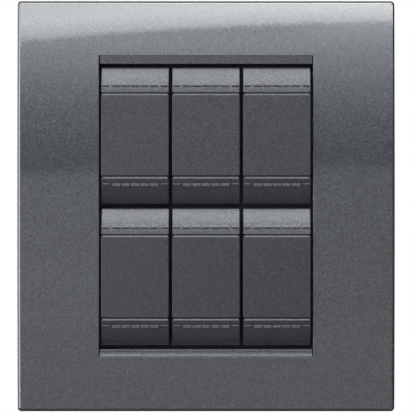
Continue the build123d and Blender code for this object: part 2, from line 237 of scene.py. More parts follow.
def joined(parts):
    """Several closed skins as one list of points and one of faces."""
    faces, count = [], 0
    for points, skin in parts:
        faces += [[count + corner for corner in face] for face in skin]
        count += len(points)
    return np.concatenate([points for points, _ in parts]), faces


def outward(points, faces):
    """Faces turned so that the skin holds a positive volume, summed over fans of triangles."""
    first = np.array([face[:3] for face in faces])
    a, b, c = (points[first[:, corner]] for corner in range(3))
    d = points[np.array([face[-1] for face in faces])]
    volume = np.sum(a * np.cross(b, c)) + np.sum(a * np.cross(c, d))
    return faces if volume > 0 else [face[::-1] for face in faces]


def new_piece(name, points, faces, crease=30.0):
    """An object from points in mm and faces, smooth but for edges sharper than the crease angle."""
    mesh = bpy.data.meshes.new(name)
    mesh.from_pydata((points * MM).tolist(), [], outward(points, faces))
    mesh.polygons.foreach_set("use_smooth", np.ones(len(mesh.polygons), bool))
    mesh.set_sharp_from_angle(angle=math.radians(crease))
    piece = bpy.data.objects.new(name, mesh)
    bpy.context.collection.objects.link(piece)
    return piece


def lathe_loops(radii, heights, sides):
    """Circles round the Y axis, one per radius and height."""
    angle = np.linspace(0, 2 * np.pi, sides, endpoint=False)
    radii, heights = np.asarray(radii)[:, None], np.asarray(heights)[:, None]
    return np.stack(np.broadcast_arrays(radii * np.cos(angle), heights, radii * np.sin(angle)), axis=-1)


def half_head(side):
    """Half of a slotted head: a D outline, arc and chord, drawn in at its top edge by a small rounding."""
    high, gap, (fine, edge) = SCREW_HEAD_Y[1], SCREW_SLOT[0] / 2, SCREW_HEAD_EDGE
    inset = np.array([0.0, 0.0, fine, edge])[:, None]
    rise = np.array([high - SCREW_SLOT[1] - SCREW_SINK, high - edge, high - fine, high])[:, None]
    radius = SCREW_HEAD_R - SCREW_SINK - inset
    reach = np.arcsin((gap + inset) / radius)
    angle = reach + np.linspace(0, 1, SCREW_HEAD_SIDES // 2 + 1) * (np.pi - 2 * reach)
    outline = np.broadcast_arrays(radius * np.cos(angle), rise, side * radius * np.sin(angle))
    return loft(np.stack(outline, axis=-1))


def threaded_shank():
    """Shank whose radius falls and rises once a pitch, shifted round by the turn angle: a rolled thread."""
    height = np.linspace(SCREW_TIP_Y, SCREW_HEAD_Y[0] + 0.1, THREAD_STEPS[0])[:, None]
    angle = np.linspace(0, 2 * np.pi, THREAD_STEPS[1], endpoint=False)[None, :]
    wave = 0.5 + 0.5 * np.cos(2 * np.pi * height / THREAD_PITCH - angle)
    taper = np.clip((height - SCREW_TIP_Y) / SCREW_POINT[0], SCREW_POINT[1], 1.0)
    radius = (SCREW_SHANK_R - THREAD_DEPTH * wave) * taper
    loops = np.broadcast_arrays(radius * np.cos(angle), height, radius * np.sin(angle))
    return loft(np.stack(loops, axis=-1))


head_low, head_high = SCREW_HEAD_Y
slot_floor = head_high - SCREW_SLOT[1]
head_radii = [2.2, 2.46, 2.49, 2.49]
head_heights = [head_low, head_low + 0.06, head_low + 0.2, slot_floor]
head_disc = loft(lathe_loops(head_radii, head_heights, SCREW_HEAD_SIDES))
one_screw, screw_faces = joined([head_disc, half_head(1), half_head(-1), threaded_shank()])
screw_x = np.repeat(SWITCH_X, 2)
screw_z = np.repeat(SWITCH_Z, 2) + np.tile([SCREW_Z, -SCREW_Z], 6)
across, along, up = one_screw.T
screws = []
for index, (x, z) in enumerate(zip(screw_x, screw_z)):
    turn = SCREW_TURN[0] + SCREW_TURN[1] * index
    spun = np.stack([across * math.cos(turn) - up * math.sin(turn), along,
                     across * math.sin(turn) + up * math.cos(turn)], axis=-1)
    screws.append((spun + np.array([x, 0.0, z]), screw_faces))
screw_steel = pressed_metal("zinc_plated_steel", SCREW_COLOUR, roughness=0.34)
screw_set = new_piece("slotted_screws", *joined(screws))
fit(screw_set, "frame", "screw_steel", screw_steel, "terminal_screws")


# Contact levers. A see-saw stamped from hard copper strip, rocking on the knife edge in the common
# terminal, with a small silver contact pad welded on near its upper end.

LEVER_EDGE = 0.08
LEVER_COLOUR = (0.60, 0.34, 0.20, 1.0)

lever_copper = pressed_metal("hard_copper", LEVER_COLOUR, roughness=0.32)
for switch in SWITCHES:
    lever = softened_copy(f"contact_lever_{switch}", f"lever_strip_{switch}", LEVER_EDGE)
    fit(lever, f"contact_{switch}", "contact_brass", lever_copper, f"contact_lever_{switch}")


# Front yokes. A black flange that closes each housing and rests on the support frame, with two ears
# in front whose half-round bearings carry the rocker. Its thin side lips all but meet its neighbours',
# so that the gaps between the keys read dark.

YOKE_EDGE = 0.05
YOKE_SIDE = 11.15
YOKE_LIP = 0.045
YOKE_COLOUR = (0.029, 0.030, 0.038, 1.0)


def widened(piece, middle, reach, growth):
    """Moves a copy's sides apart: points farther than the reach from its middle in X go out by the growth."""
    points = np.empty(3 * len(piece.data.vertices))
    piece.data.vertices.foreach_get("co", points)
    across = points[::3] / MM - middle
    points[::3] += MM * growth * np.sign(across) * (np.abs(across) > reach)
    piece.data.vertices.foreach_set("co", points)


yoke_plastic = moulded_plastic("black_yoke_plastic", YOKE_COLOUR, roughness=0.7, grain=1600.0, depth=0.02,
                               shine=0.12)
for switch, x in zip(SWITCHES, SWITCH_X):
    yoke = softened_copy(f"front_yoke_{switch}", f"yoke_{switch}", YOKE_EDGE)
    widened(yoke, x, YOKE_SIDE, YOKE_LIP)
    fit(yoke, "frame", "yoke_plastic", yoke_plastic, f"front_yoke_{switch}")


# Rockers. The inner see-saw of each switch, a slippery dark plastic plate with two half-round
# trunnions and a square barrel behind that holds the spring and the plunger.

ROCKER_EDGE = 0.2
ROCKER_COLOUR = (0.03, 0.03, 0.032, 1.0)

rocker_plastic = moulded_plastic("slippery_rocker_plastic", ROCKER_COLOUR, roughness=0.4, grain=1600.0,
                                 depth=0.015)
for switch in SWITCHES:
    rocker = softened_copy(f"rocker_{switch}", f"rocker_plate_{switch}", ROCKER_EDGE)
    fit(rocker, f"key_{switch}", "rocker_plastic", rocker_plastic, f"rocker_{switch}")


# Plungers. A square pin of natural acetal with a rounded wedge tip, pressed by its spring against
# the lever's front so that the lever snaps over when the key is rocked.

PLUNGER_EDGE = 0.2
PLUNGER_COLOUR = (0.62, 0.60, 0.53, 1.0)

plunger_plastic = moulded_plastic("natural_acetal", PLUNGER_COLOUR, roughness=0.35, grain=1200.0, depth=0.01)
for switch in SWITCHES:
    plunger = softened_copy(f"plunger_{switch}", f"plunger_pin_{switch}", PLUNGER_EDGE)
    fit(plunger, f"key_{switch}", "plunger_plastic", plunger_plastic, f"plunger_{switch}")


# Plunger springs. Cold-wound round spring wire, open coils with the end coils closed and ground flat,
# held in the rocker's barrel between its floor and the plunger.

SPRING_Y = (-4.0, 0.6)
SPRING_WIRE = 0.5
SPRING_OUTER_R = 1.49
SPRING_TURNS = 6
SPRING_EVEN = 0.45
SPRING_STEPS = (24, 10)  # a turn, and round the wire
SPRING_CREASE = 60.0
SPRING_COLOUR = (0.36, 0.36, 0.37, 1.0)


def coil():
    """Wire tube on a helix: the end turns lie about one wire apart, and the pitch opens in between by a smooth
    step."""
    along = np.linspace(0, 1, SPRING_TURNS * SPRING_STEPS[0] + 1)[:, None]
    around = np.linspace(0, 2 * np.pi, SPRING_STEPS[1], endpoint=False)[None, :]
    wire = SPRING_WIRE / 2
    low, high = SPRING_Y[0] + wire, SPRING_Y[1] - wire
    eased = 3 * along**2 - 2 * along**3
    height = low + (high - low) * (SPRING_EVEN * along + (1 - SPRING_EVEN) * eased)
    turn = 2 * np.pi * SPRING_TURNS * along
    radius = SPRING_OUTER_R - wire + wire * np.cos(around)
    loops = np.broadcast_arrays(radius * np.cos(turn), height + wire * np.sin(around), radius * np.sin(turn))
    return loft(np.stack(loops, axis=-1))


spring_steel = pressed_metal("spring_wire", SPRING_COLOUR, roughness=0.3)
coil_points, coil_faces = coil()
for switch, x, z in zip(SWITCHES, SWITCH_X, SWITCH_Z):
    here = coil_points + np.array([x, 0.0, z])
    spring = new_piece(f"coil_spring_{switch}", here, coil_faces, SPRING_CREASE)
    fit(spring, f"key_{switch}", "spring_steel", spring_steel, f"plunger_spring_{switch}")


# Key covers. Thin hollow keys moulded in plastic and sprayed with a satin metallic lacquer. The flat
# field ends in a groove above and below, beyond it the end curves back and carries a row of raised
# dashes. Two hooks inside clip over the rocker's plate.

KEY_WALL = 1.2
KEY_SKIN = 1.4
KEY_EDGE = 0.18
KEY_TIP_EDGE = 0.04
KEY_END_LENGTH = 8.5
KEY_END_EDGE = 0.8
KEY_END_RADIUS = 20.0
KEY_STEP = 0.25
GROOVE_HALF = 0.45
GROOVE_DEPTH = 0.32
GROOVE_FLOOR = (0.17, 0.28)  # this and the next pair: for the upper and the lower groove
GROOVE_LIP = (0.45, 0.52)
GROOVE_BLEND = 0.3
GROOVE_ROUNDING = 0.06
GROOVE_BRINK = 0.10
GROOVE_STATIONS = (0.0, 0.03, 0.07, 0.13, 0.17, 0.2, 0.28, 0.32, 0.37, 0.42, 0.45, 0.49, 0.53, 0.57, 0.7)
NOTCH_DEPTH = 1.2
NOTCH_REACH = 0.4
BAR_OFFSET = 2.6
BAR_HEIGHT = 0.03
BAR_LEAN = math.tan(math.radians(5.5))
BAR_STEP = 0.05
DASH_FLANK_SHARE = (0.52, 0.15)  # this and the next pair: for the upper and the lower end
SIDE_FLANK_SHARE = (0.4, 0.68)
DASH_HALF = 0.525
SIDE_BAR_HALF = 0.375
DASH_PITCH = 3.01
DASH_LENGTH = 2.68
SIDE_BAR_X = (8.25, 10.425)
BAR_RAMP = 0.03
HOOK_HALF = 4.0
HOOK_LEG = 1.5
HOOK_TOE = 1.0
HOOK_GAP = 0.05
KEY_COLOUR = (0.0785, 0.0815, 0.0893, 1.0)
KEY_FINISH = {"Metallic": 0.8, "Roughness": 0.34, "Specular IOR Level": 0.3}
KEY_FLAKE, KEY_FLAKE_TILT, KEY_MOTTLE = 0.30, 0.09, 0.33
SPRAY_SCALE, SPRAY_ROUGHNESS = 260.0, 0.03


def box_of(node):
    """Low and high corner of a CAD node, in mm."""
    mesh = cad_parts[node].data
    points = np.empty(3 * len(mesh.vertices))
    mesh.vertices.foreach_get("co", points)
    points = points.reshape(-1, 3) / MM
    return points.min(0), points.max(0)


key_low, key_high = box_of("key_cover_2")
KEY_HALF_X, _, KEY_HALF_Z = (key_high - key_low) / 2
KEY_FIELD_Y, KEY_BACK_Y = key_low[1], key_high[1]
KEY_ROCKER_Y = KEY_FIELD_Y + KEY_SKIN
GROOVE_Z = KEY_HALF_Z - KEY_END_LENGTH
BAR_LOW = GROOVE_Z + BAR_OFFSET - DASH_HALF


def end_height(z):
    """Y of the curved end: a circle of the end radius through the groove's outer edge and the key's tip."""
    start = np.array([KEY_FIELD_Y + KEY_STEP, GROOVE_Z + GROOVE_HALF])
    end = np.array([KEY_BACK_Y - KEY_END_EDGE, KEY_HALF_Z])
    chord = np.linalg.norm(end - start)
    rise = math.sqrt(KEY_END_RADIUS**2 - (chord / 2) ** 2)
    centre = (start + end) / 2 + rise / chord * np.array([end[1] - start[1], start[0] - end[0]])
    return centre[0] - np.sqrt(KEY_END_RADIUS**2 - (z - centre[1]) ** 2)


def rolled(inside, radius):
    """Drop of a rounded edge at a distance inside it: a quarter circle of the edge's radius."""
    short = np.clip(radius - inside, 0, radius)
    return radius - np.sqrt(radius**2 - short**2)


def key_front(x, z):
    """Front of the key: the flat field and the curved ends blended in the groove, less a soft V with a narrow
    floor on its upper side, which runs out in a notch at the key's sides, raised to the bars in ramped dashes,
    with rolled edges. A bar's face leans towards the field up to a crest, and its outer flank falls back from
    there to the end's curve."""
    off = np.abs(z)
    past = np.clip((off - GROOVE_Z) / (GROOVE_BLEND * GROOVE_HALF) + 0.5, 0, 1)
    height = KEY_FIELD_Y * (1 - past) + end_height(np.maximum(off, GROOVE_Z)) * past
    rise = np.where(z > 0, off - GROOVE_Z, GROOVE_Z - off)
    floor, brink = np.where(z > 0, *GROOVE_FLOOR), np.where(z > 0, *GROOVE_LIP)
    steep = np.clip(rise - floor, 0, None) * GROOVE_HALF / (brink - floor)
    vee = 1 - np.sqrt(np.where(rise > 0, steep, rise) ** 2 + GROOVE_ROUNDING**2) / GROOVE_HALF
    notch = NOTCH_DEPTH * np.clip(1 - (KEY_HALF_X - np.abs(x)) / NOTCH_REACH, 0, 1)
    height = height + (GROOVE_DEPTH + notch) * 0.5 * (vee + np.sqrt(vee**2 + GROOVE_BRINK**2))
    near = np.abs(np.clip(np.round(x / DASH_PITCH), -2, 2) * DASH_PITCH - x)
    dash = np.clip((DASH_LENGTH / 2 - near) / BAR_RAMP, 0, 1)
    side = np.clip(np.minimum(np.abs(x) - SIDE_BAR_X[0], SIDE_BAR_X[1] - np.abs(x)) / BAR_RAMP, 0, 1)
    bars = ((dash, 2 * DASH_HALF, DASH_FLANK_SHARE), (side, 2 * SIDE_BAR_HALF, SIDE_FLANK_SHARE))
    for run, thick, shares in bars:
        share = np.where(z > 0, *shares)
        inner, outer = off - BAR_LOW, BAR_LOW + thick - off
        face = end_height(BAR_LOW) - BAR_HEIGHT - BAR_LEAN * inner
        crest = end_height(BAR_LOW) - BAR_HEIGHT - BAR_LEAN * thick * (1 - share)
        foot = end_height(BAR_LOW + thick)
        flank = foot + (crest - foot) * outer / (thick * share)
        cover = run * np.clip(inner / BAR_STEP, 0, 1) * (outer > 0)
        height = height + (np.minimum(np.maximum(face, flank), height) - height) * cover
    return height + rolled(KEY_HALF_X - np.abs(x), KEY_EDGE) + rolled(KEY_HALF_Z - off, KEY_TIP_EDGE)


def mirrored(values):
    """The stations and their mirror images, in order, each once."""
    return np.unique(np.round(np.concatenate([-values, values]), 5))


def key_shell():
    """Front grid, the same grid drawn in for the hollow's roof, and the walls between their edges."""
    curl = 1 - np.sin(np.linspace(0, np.pi / 2, 6))
    middles = np.arange(3) * DASH_PITCH
    ends = np.concatenate([middles + DASH_LENGTH / 2, middles[1:] - DASH_LENGTH / 2])
    side_ends = [SIDE_BAR_X[0], SIDE_BAR_X[0] + BAR_RAMP, SIDE_BAR_X[1] - BAR_RAMP, SIDE_BAR_X[1]]
    rims = [*(KEY_HALF_X - KEY_EDGE * curl), KEY_HALF_X - NOTCH_REACH]
    even = np.linspace(0, KEY_HALF_X - KEY_EDGE, 13)
    x = mirrored(np.concatenate([ends - BAR_RAMP, ends, ends + BAR_RAMP, side_ends, rims, even]))
    groove = GROOVE_Z + mirrored(np.array(GROOVE_STATIONS))
    crests = [2 * DASH_HALF * (1 - share) for share in DASH_FLANK_SHARE]
    crests += [2 * SIDE_BAR_HALF * (1 - share) for share in SIDE_FLANK_SHARE]
    bars = BAR_LOW + np.array([0.0, BAR_STEP, *crests, 2 * SIDE_BAR_HALF, 2 * DASH_HALF])
    field, shelf = np.linspace(0, 12, 5), np.linspace(14.2, 15.2, 3)
    tail = np.linspace(16.8, KEY_HALF_Z - 0.4, 10)
    z = mirrored(np.concatenate([field, groove, shelf, bars, tail, KEY_HALF_Z - KEY_TIP_EDGE * curl]))
    across, up = np.meshgrid(x, z)
    front = np.stack([across, key_front(across, up), up], axis=-1)
    in_x, in_z = KEY_HALF_X - KEY_WALL, KEY_HALF_Z - KEY_WALL
    roof_z = up * in_z / KEY_HALF_Z
    bend = GROOVE_Z + GROOVE_HALF
    slope = (end_height(in_z) + KEY_SKIN - KEY_ROCKER_Y) / (in_z - bend)
    roof_y = KEY_ROCKER_Y + slope * np.clip(np.abs(roof_z) - bend, 0, None)
    roof = np.stack([across * in_x / KEY_HALF_X, roof_y, roof_z], axis=-1)
    rows, columns = across.shape
    number = np.arange(rows * columns).reshape(rows, columns)
    edge = np.concatenate([number[0, :-1], number[:-1, -1], number[-1, :0:-1], number[:0:-1, 0]])
    rim = front.reshape(-1, 3)[edge].copy()
    rim[:, 1] = KEY_BACK_Y
    lip = roof.reshape(-1, 3)[edge].copy()
    lip[:, 1] = KEY_BACK_Y
    size, loop = rows * columns, len(edge)
    turn = np.arange(loop)
    strips = [edge, 2 * size + turn, 2 * size + loop + turn, size + edge]
    walls = [np.stack([a, np.roll(a, -1), np.roll(b, -1), b], axis=-1) for a, b in zip(strips, strips[1:])]
    top = grid_faces(rows, columns, False, False)
    faces = np.concatenate([top[:, ::-1], size + top] + walls)
    points = np.concatenate([front.reshape(-1, 3), roof.reshape(-1, 3), rim, lip])
    return points, faces.tolist()


def carried(outline, axis, low, high):
    """An outline carried straight along an axis from low to high, closed at both ends."""
    points, faces = loft(np.stack([np.insert(outline, axis, place, axis=1) for place in (low, high)]))
    return points, outward(points, faces)


def key_hook(end):
    """Hook inside the key: its side outline carried across the key's middle."""
    root, toe, inner = KEY_FIELD_Y + KEY_SKIN / 2, KEY_ROCKER_Y + HOOK_LEG, GROOVE_Z - HOOK_GAP
    tip, outer = toe + HOOK_TOE, inner + HOOK_TOE
    side = [(root, inner), (toe, inner), (toe, inner - HOOK_TOE), (tip, inner), (tip, outer), (root, outer)]
    return carried(np.array(side) * [1.0, end], 0, -HOOK_HALF, HOOK_HALF)


def flake_lacquer(name, colour, plain, flake, tilt, mottle, ripple=0.0):
    """Metallic lacquer: every flake is a cell with its own shade and its own small tilt from the surface.
    Where a clear coat lies over it, the flakes ripple the coat by a smaller tilt."""
    material, shader, place = new_finish(name, plain)
    cells = lay(material, "ShaderNodeTexVoronoi", None, {"Vector": place, "Scale": 1 / (flake * MM)})
    toned(material, shader, colour, cells.outputs["Color"], 1 - mottle, 1 + mottle)
    middle = lay(material, "ShaderNodeVectorMath", {"operation": "SUBTRACT"},
                 {0: cells.outputs["Color"], 1: (0.5, 0.5, 0.5)})
    level = lay(material, "ShaderNodeNewGeometry")
    for socket, amount in (("Normal", tilt), ("Coat Normal", ripple)):
        if amount:
            lean = lay(material, "ShaderNodeVectorMath", {"operation": "SCALE"},
                       {0: middle.outputs[0], "Scale": amount})
            leant = lay(material, "ShaderNodeVectorMath", {"operation": "ADD"},
                        {0: lean.outputs[0], 1: level.outputs["Normal"]})
            facing = lay(material, "ShaderNodeVectorMath", {"operation": "NORMALIZE"}, {0: leant.outputs[0]})
            material.node_tree.links.new(facing.outputs[0], shader.inputs[socket])
    spray = lay(material, "ShaderNodeTexNoise", None, {"Vector": place, "Scale": SPRAY_SCALE, "Detail": 2.0})
    low, high = plain["Roughness"] - SPRAY_ROUGHNESS, plain["Roughness"] + SPRAY_ROUGHNESS
    gloss = ramp(material, spray.outputs["Fac"], 0.0, 1.0, low, high, eased=False)
    material.node_tree.links.new(gloss, shader.inputs["Roughness"])
    return material


key_lacquer = flake_lacquer("satin_key_lacquer", KEY_COLOUR, KEY_FINISH, KEY_FLAKE, KEY_FLAKE_TILT, KEY_MOTTLE)
key_points, key_faces = key_shell()
key_faces = outward(key_points, key_faces)
key_points, key_faces = joined([(key_points, key_faces), key_hook(1), key_hook(-1)])
for switch, x, z in zip(SWITCHES, SWITCH_X, SWITCH_Z):
    key = new_piece(f"key_cap_{switch}", key_points + np.array([x, 0.0, z]), key_faces)
    fit(key, f"key_{switch}", "key_lacquer", key_lacquer, f"key_cover_{switch}")


# Cover plate. One moulding with a gently crowned front, sprayed with dark metallic lacquer under a
# gloss clear coat. A collar lines its window, with a sloping ledge above and below the keys. Ribs
# stiffen it behind, and four hooked legs snap into the support frame.

PLATE_HALF = (60.0, 65.3)
PLATE_FRONT_Y = -9.0
CROWN_RADIUS = 1185.4
PLATE_CORNER_R = 1.2
PLATE_SHOULDER = (0.34, math.radians(3))  # width, lean
PLATE_EDGE_R = 0.15
PLATE_EDGE_TURN = math.radians(52)
PLATE_EDGE_FACET = 0.764
PLATE_CREASE = 24.0
PLATE_SKIN = 2.2
PLATE_RIM = 2.0
PLATE_RIM_CORNER_R = 0.6
WINDOW_HALF = (34.08, 47.9)
WINDOW_CORNER_R = 0.3
UPPER_LEDGE = (45.3, 47.85, 0.25, 0.0)  # foot and start in Z, bow of the slope, undercut of the foot
LOWER_LEDGE = (45.6, 47.8, 0.42, 0.4)
LEDGE_HALF = 33.75
LEDGE_SLOPE = 0.11
LEDGE_EDGE = 0.1
COLLAR_HALF = (35.55, 49.4)
COLLAR_BACK_Y = -3.0
COLLAR_CORNER_R = 0.4
COLLAR_EDGE = 0.15
WINDOW_EDGE_R = 0.1
RIB_HALF = 0.6
RIB_BACK_Y = -5.0
RIB_UPRIGHT_Y = -6.2
RIB_CROSS_Y = -6.4
RIB_ROOT = 0.3
RIB_EDGE = 0.12
RIB_X = (-24.0, 0.0, 24.0)
RIB_Z = (-33.0, 0.0, 33.0)
LEG_X = (46.6, 48.0)
LEG_ROOT_Y = -6.9
LEG_TIP_Y = -0.3
LEG_BARB = 0.8
LEG_BARB_LENGTH = 1.0
LEG_NOSE = 0.1
LEG_Z = 40.0
LEG_HALF = 3.0
PLATE_COLOUR = (0.065, 0.071, 0.083, 1.0)
PLATE_FINISH = {"Metallic": 0.75, "Roughness": 0.42, "Specular IOR Level": 0.3, "Coat Weight": 1.0,
                "Coat Roughness": 0.025, "Coat IOR": 2.0}
PLATE_FLAKE, PLATE_FLAKE_TILT, PLATE_MOTTLE, PLATE_RIPPLE = 0.30, 0.24, 0.60, 0.002


def crown(z):
    """How far the crowned front has fallen back at height z: a circle of the crown radius."""
    return CROWN_RADIUS - np.sqrt(CROWN_RADIUS**2 - z**2)


def rounded_loops(half_x, half_z, radius, across=40, along=72, corner=6):
    """Rounded rectangles with equal points, one a row: corner centres scaled out, plus quarter circles,
    with the straight runs shared out evenly between the corners."""
    signs = np.array([(1, 1), (-1, 1), (-1, -1), (1, -1)])
    centre, spoke = [], []
    for place in range(4):
        angle = np.pi / 2 * (place + np.linspace(0, 1, corner + 1))
        arc = np.stack([np.cos(angle), np.sin(angle)], axis=-1)
        share = np.linspace(0, 1, (across, along)[place % 2] + 1)[1:-1, None]
        run = signs[place] * (1 - share) + signs[(place + 1) % 4] * share
        centre += [np.tile(signs[place], (corner + 1, 1)), run]
        spoke += [arc, np.tile(arc[-1], (len(run), 1))]
    centre, spoke = np.concatenate(centre), np.concatenate(spoke)
    half = np.stack([half_x, half_z], axis=-1)[:, None, :]
    radius = np.asarray(radius)[:, None, None]
    return centre * (half - radius) + spoke * radius


def plate_shell():
    """One closed band of loops round the plate's section: front, a narrow shoulder that leans back a little,
    rolled edge, facet, side, back of the rim, the underside of the skin, the collar, the window's wall,
    and back to the front at the window's edge."""
    (wide, tall), (window_x, window_z) = PLATE_HALF, WINDOW_HALF
    (collar_x, collar_z), (shoulder, lean) = COLLAR_HALF, PLATE_SHOULDER
    rim_x, rim_z = wide - PLATE_RIM, tall - PLATE_RIM
    lip, least = WINDOW_EDGE_R, WINDOW_CORNER_R
    bend_x = (PLATE_EDGE_R * (math.sin(PLATE_EDGE_TURN) - math.sin(lean))
              + PLATE_EDGE_FACET * math.cos(PLATE_EDGE_TURN))
    edge = shoulder + bend_x
    bend_y = PLATE_FRONT_Y + shoulder * math.tan(lean) + PLATE_EDGE_R * math.cos(lean)
    facet_y = bend_y - PLATE_EDGE_R * math.cos(PLATE_EDGE_TURN) + PLATE_EDGE_FACET * math.sin(PLATE_EDGE_TURN)
    share = np.concatenate([[0.0, 0.006], np.linspace(0.06, 0.94, 11), [0.994]])
    under = PLATE_FRONT_Y + PLATE_SKIN
    rows = []
    for part in share:
        rows.append((window_x + lip + part * (wide - edge - window_x - lip),
                     window_z + lip + part * (tall - edge - window_z - lip), least, PLATE_FRONT_Y, 1))
    for part in (0.0, 0.1, 0.9):
        inset = edge - part * shoulder
        rows.append((wide - inset, tall - inset, max(PLATE_CORNER_R - inset, least),
                     PLATE_FRONT_Y + part * shoulder * math.tan(lean), 1))
    for turn in np.linspace(lean, PLATE_EDGE_TURN, 9):
        inset = bend_x - PLATE_EDGE_R * (math.sin(turn) - math.sin(lean))
        rows.append((wide - inset, tall - inset, max(PLATE_CORNER_R - inset, least),
                     bend_y - PLATE_EDGE_R * math.cos(turn), 1))
    for part in (0.06, 0.0):
        rows.append((wide - part, tall - part, PLATE_CORNER_R - part, facet_y - 0.8 * part, 1))
    rows.append((wide, tall, PLATE_CORNER_R, facet_y + 0.1, 1))
    for inset, y in ((0.0, -2.0), (0.0, -0.25), (0.07, -0.07), (0.25, 0.0)):
        rows.append((wide - inset, tall - inset, PLATE_CORNER_R - inset, y, 0))
    for outset, y in ((0.2, 0.0), (0.06, -0.06), (0.0, -0.2)):
        rows.append((rim_x + outset, rim_z + outset, PLATE_RIM_CORNER_R, y, 0))
    rows.append((rim_x, rim_z, PLATE_RIM_CORNER_R, under + 0.4, 1))
    rows.append((rim_x - 0.12, rim_z - 0.12, PLATE_RIM_CORNER_R - 0.1, under + 0.12, 1))
    for part in (0.02, 0.35, 0.7, 0.98):
        rows.append((rim_x + part * (collar_x - rim_x), rim_z + part * (collar_z - rim_z),
                     COLLAR_CORNER_R, under, 1))
    rows.append((collar_x, collar_z, COLLAR_CORNER_R, under + 2 * COLLAR_EDGE, 1))
    rows.append((collar_x, collar_z, COLLAR_CORNER_R, COLLAR_BACK_Y - COLLAR_EDGE, 0))
    rows.append((collar_x - COLLAR_EDGE, collar_z - COLLAR_EDGE, least, COLLAR_BACK_Y, 0))
    rows.append((window_x + COLLAR_EDGE, window_z + COLLAR_EDGE, least, COLLAR_BACK_Y, 0))
    rows.append((window_x, window_z, least, COLLAR_BACK_Y - COLLAR_EDGE, 0))
    rows.append((window_x, window_z, least, PLATE_FRONT_Y + 2 * lip, 1))
    for turn in np.linspace(0, np.pi / 2, 5)[:-1]:
        drawn = lip * (1 - math.cos(turn))
        rows.append((window_x + drawn, window_z + drawn, least, PLATE_FRONT_Y + lip * (1 - math.sin(turn)), 1))
    half_x, half_z, radius, rise, crowned = np.array(rows).T
    loops = rounded_loops(half_x, half_z, radius)
    y = rise[:, None] + crowned[:, None] * crown(loops[..., 1])
    points = np.stack([loops[..., 0], y, loops[..., 1]], axis=-1)
    count = points.shape[:2]
    return points.reshape(-1, 3), grid_faces(*count, True, True).tolist()


def ledge(end, foot, start, bow, undercut):
    """Ledge above or below the keys: its side outline, a slope that bends more towards the plate's front and
    a rounded foot, carried across the keys. It stops short of the window's sides and leaves a slit there."""
    top = WINDOW_HALF[1]
    fall = np.linspace(0, 1, 9)
    drop = LEDGE_SLOPE * (start - foot)
    slope_y = PLATE_FRONT_Y + crown(top) + drop * ((1 + bow) * fall - bow * fall**2)
    slope_z = start + fall * (foot + LEDGE_EDGE - start)
    turn = np.linspace(0, np.pi / 2, 6)[1:]
    foot_y = slope_y[-1] + LEDGE_EDGE * (1 - np.cos(turn))
    foot_z = foot + LEDGE_EDGE * (1 - np.sin(turn))
    neck_y, root = slope_y[0] + PLATE_SKIN / 2, (top + COLLAR_HALF[1]) / 2
    back_y = [COLLAR_BACK_Y, COLLAR_BACK_Y, neck_y, neck_y, slope_y[0]]
    back_z = [foot + undercut, root, root, top, top]
    side_y, side_z = np.concatenate([slope_y, foot_y, back_y]), np.concatenate([slope_z, foot_z, back_z])
    return carried(np.stack([side_y, end * side_z], axis=-1), 0, -LEDGE_HALF, LEDGE_HALF)


def rib(low, high):
    """A straight moulded rib: four rectangular loops piled along Y, drawn in at both ends by the edge."""
    low, high, edge = np.array(low), np.array(high), RIB_EDGE
    middle, half = (low + high) / 2, (high - low) / 2
    inset = np.array([edge, 0.0, 0.0, edge])
    loops = rounded_loops(half[0] - inset, half[2] - inset, np.full(4, edge), 2, 2, 2)
    y = np.array([low[1], low[1] + edge, high[1] - edge, high[1]])[:, None]
    points, faces = loft(np.stack([loops[..., 0] + middle[0], np.broadcast_to(y, loops.shape[:2]),
                                   loops[..., 1] + middle[2]], axis=-1))
    return points, outward(points, faces)


def leg(side, z):
    """Hooked leg: its outline in X and Y, with the barb at the tip, carried along Z."""
    inner, outer = LEG_X
    barb_y = LEG_TIP_Y - LEG_BARB_LENGTH
    outline = [(inner, LEG_ROOT_Y), (outer, LEG_ROOT_Y), (outer, barb_y), (outer + LEG_BARB, barb_y),
               (outer + LEG_NOSE, LEG_TIP_Y), (inner, LEG_TIP_Y)]
    return carried(np.array(outline) * [side, 1.0], 2, z - LEG_HALF, z + LEG_HALF)


plate_lacquer = flake_lacquer("gloss_plate_lacquer", PLATE_COLOUR, PLATE_FINISH, PLATE_FLAKE, PLATE_FLAKE_TILT,
                              PLATE_MOTTLE, PLATE_RIPPLE)
band_points, band_faces = plate_shell()
plate_parts = [(band_points, outward(band_points, band_faces))]
plate_parts += [ledge(1, *UPPER_LEDGE), ledge(-1, *LOWER_LEDGE)]
for x in RIB_X:
    for way in (-1, 1):
        z = sorted((way * (COLLAR_HALF[1] - RIB_ROOT), way * (PLATE_HALF[1] - PLATE_RIM + RIB_ROOT)))
        plate_parts.append(rib((x - RIB_HALF, RIB_UPRIGHT_Y, z[0]), (x + RIB_HALF, RIB_BACK_Y, z[1])))
for z in RIB_Z:
    for way in (-1, 1):
        x = sorted((way * (COLLAR_HALF[0] - RIB_ROOT), way * (PLATE_HALF[0] - PLATE_RIM + RIB_ROOT)))
        plate_parts.append(rib((x[0], RIB_CROSS_Y, z - RIB_HALF), (x[1], RIB_BACK_Y, z + RIB_HALF)))
for side in (-1, 1):
    for z in (-LEG_Z, LEG_Z):
        plate_parts.append(leg(side, z))
plate = new_piece("plate_moulding", *joined(plate_parts), PLATE_CREASE)
fit(plate, "frame", "plate_lacquer", plate_lacquer, "cover_plate")


# Studio. A pale floor below the hanging frame, a graduated card behind the camera that the gloss coat
# mirrors, soft boxes above and to the left, and dark flags above, to the right and below, all out of view.
# Places are in metres. A pair is the two ends of a ramp, or its values there, if no comment says otherwise.

